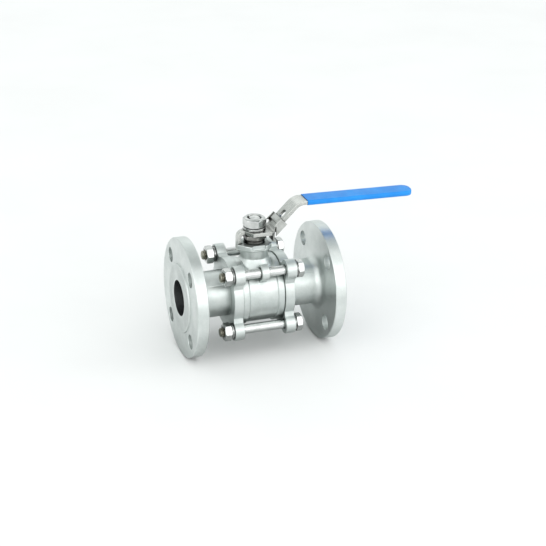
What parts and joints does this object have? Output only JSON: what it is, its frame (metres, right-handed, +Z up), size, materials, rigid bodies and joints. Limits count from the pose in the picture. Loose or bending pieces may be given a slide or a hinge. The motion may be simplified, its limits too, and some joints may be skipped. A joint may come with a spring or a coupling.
{
  "type": "ball valve",
  "caption": "Flanged three-piece full-bore ball valve with a quarter-turn hand lever, a padlockable locking slide and a blue grip sleeve.",
  "frame": {"origin": "centre of the ball, on the pipe axis and the stem axis", "axes": "+X along the pipe axis from inlet to outlet, which is also where the lever points when open; +Z up the stem; +Y completes the right-handed frame"},
  "size_m": [0.2588, 0.127, 0.1602],
  "materials": {
    "cast_steel": "investment-cast stainless steel, fine bead-blasted skin, machined faces",
    "ball_steel": "mirror-polished stainless steel",
    "ptfe": "white PTFE, waxy",
    "o_ring_rubber": "black nitrile rubber",
    "stem_steel": "turned stainless bar",
    "nut_steel": "bright cold-formed stainless steel",
    "bolt_steel": "bright drawn stainless steel",
    "washer_steel": "spring steel, stainless",
    "disc_steel": "dark spring steel",
    "lever_steel": "stamped stainless strip, tumbled",
    "slide_steel": "thin stamped stainless sheet, polished",
    "sleeve_vinyl": "dip-moulded blue vinyl, semi-gloss"
  },
  "bodies": {
    "valve": {"body": "cast_steel", "end_cap_inlet": "cast_steel", "end_cap_outlet": "cast_steel", "seat_inlet": "ptfe", "seat_outlet": "ptfe", "body_seal_inlet": "ptfe", "body_seal_outlet": "ptfe", "stem_thrust_washer": "ptfe", "packing_ring_lower": "ptfe", "packing_ring_middle": "ptfe", "packing_ring_upper": "ptfe", "gland_bush": "stem_steel", "tie_bolts": "bolt_steel", "tie_nuts": "nut_steel", "head_spring_washers": "washer_steel", "nut_spring_washers": "washer_steel"},
    "ball": {"ball": "ball_steel"},
    "lever_and_stem": {"stem": "stem_steel", "stem_o_ring": "o_ring_rubber", "disc_spring_lower": "disc_steel", "disc_spring_upper": "disc_steel", "packing_nut": "nut_steel", "packing_lock_washer": "washer_steel", "lever": "lever_steel", "lever_sleeve": "sleeve_vinyl", "lever_spring_washer": "washer_steel", "lever_nut": "nut_steel"},
    "lock": {"locking_slide": "slide_steel"}
  },
  "joints": [
    {"name": "lever_turn", "type": "hinge", "parent": "valve", "child": "lever_and_stem", "pos_m": [0, 0, 0], "axis": [0, 0, 1], "range_deg": [-90, 0]},
    {"name": "ball_turn", "type": "hinge", "parent": "valve", "child": "ball", "pos_m": [0, 0, 0], "axis": [0, 0, 1], "range_deg": [-90, 0]},
    {"name": "lock_slide", "type": "slide", "parent": "lever_and_stem", "child": "lock", "axis": [0.7071, 0, 0.7071], "range_m": [-0.0051, 0.012]}
  ],
  "couplings": [
    {"joint": "ball_turn", "follows": "lever_turn", "ratio": 1}
  ]
}
